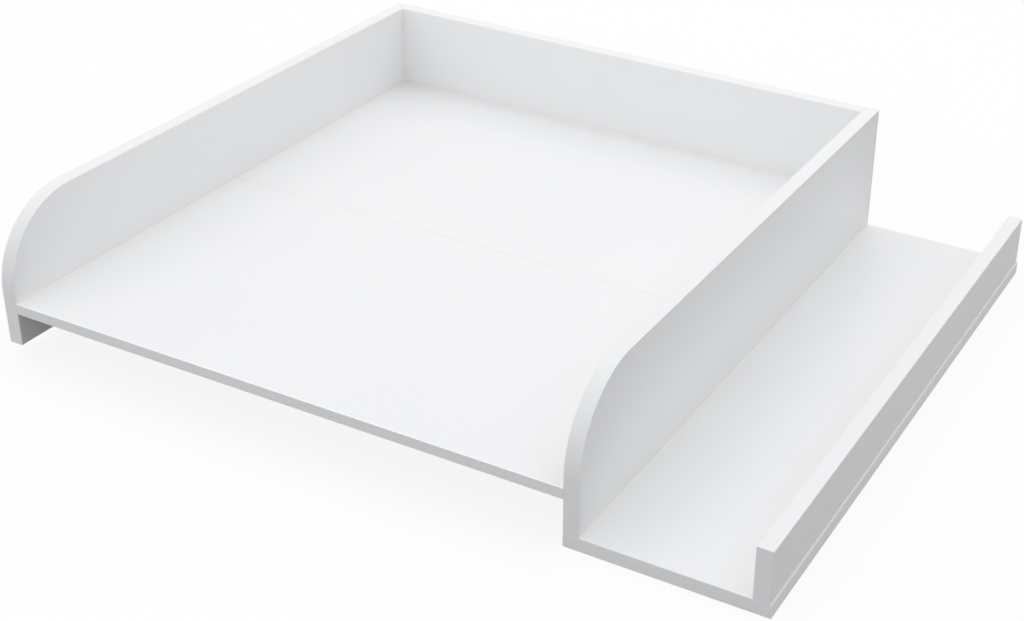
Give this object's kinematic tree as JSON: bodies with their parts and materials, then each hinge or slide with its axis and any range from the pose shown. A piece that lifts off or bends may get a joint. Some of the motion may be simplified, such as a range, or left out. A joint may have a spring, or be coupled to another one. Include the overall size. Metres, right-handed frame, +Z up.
{
  "type": "changing board",
  "caption": "Changing board for the top of a chest: a two-piece deck with three low walls, an open front with rounded wall corners, and a side tray with a lip.",
  "frame": {"origin": "middle of the plan at the level of the tray's underside, the lowest face of the object", "axes": "+X along the front from the changing area towards the tray, +Y from the open front to the back panel, +Z up"},
  "size_m": [0.941, 0.78, 0.18],
  "materials": {
    "board": "satin white coated board",
    "edge_band": "satin white edge band",
    "cam_zinc": "cast zinc",
    "plated_steel": "zinc plated",
    "beech_dowel": "raw beech"
  },
  "bodies": {
    "root": {"left_side_panel": "board", "right_side_panel": "board", "back_panel": "board", "front_deck_board": "board", "rear_deck_board": "board", "tray_board": "board", "tray_lip": "board", "left_panel_band": "edge_band", "left_panel_rear_band": "edge_band", "left_panel_bottom_band": "edge_band", "right_panel_band": "edge_band", "right_panel_rear_band": "edge_band", "back_panel_band": "edge_band", "deck_front_band": "edge_band", "tray_front_band": "edge_band", "tray_rear_band": "edge_band", "tray_outer_band": "edge_band", "tray_inner_band": "edge_band", "lip_top_band": "edge_band", "lip_front_band": "edge_band", "lip_rear_band": "edge_band", "deck_side_cams": "cam_zinc", "deck_back_cams": "cam_zinc", "back_side_cams": "cam_zinc", "deck_side_bolts": "plated_steel", "deck_back_bolts": "plated_steel", "back_side_bolts": "plated_steel", "tray_panel_screws": "plated_steel", "tray_lip_screws": "plated_steel", "deck_side_dowels": "beech_dowel", "deck_back_dowels": "beech_dowel", "deck_seam_dowels": "beech_dowel", "back_side_dowels": "beech_dowel", "tray_panel_dowels": "beech_dowel", "tray_lip_dowels": "beech_dowel"}
  },
  "joints": []
}
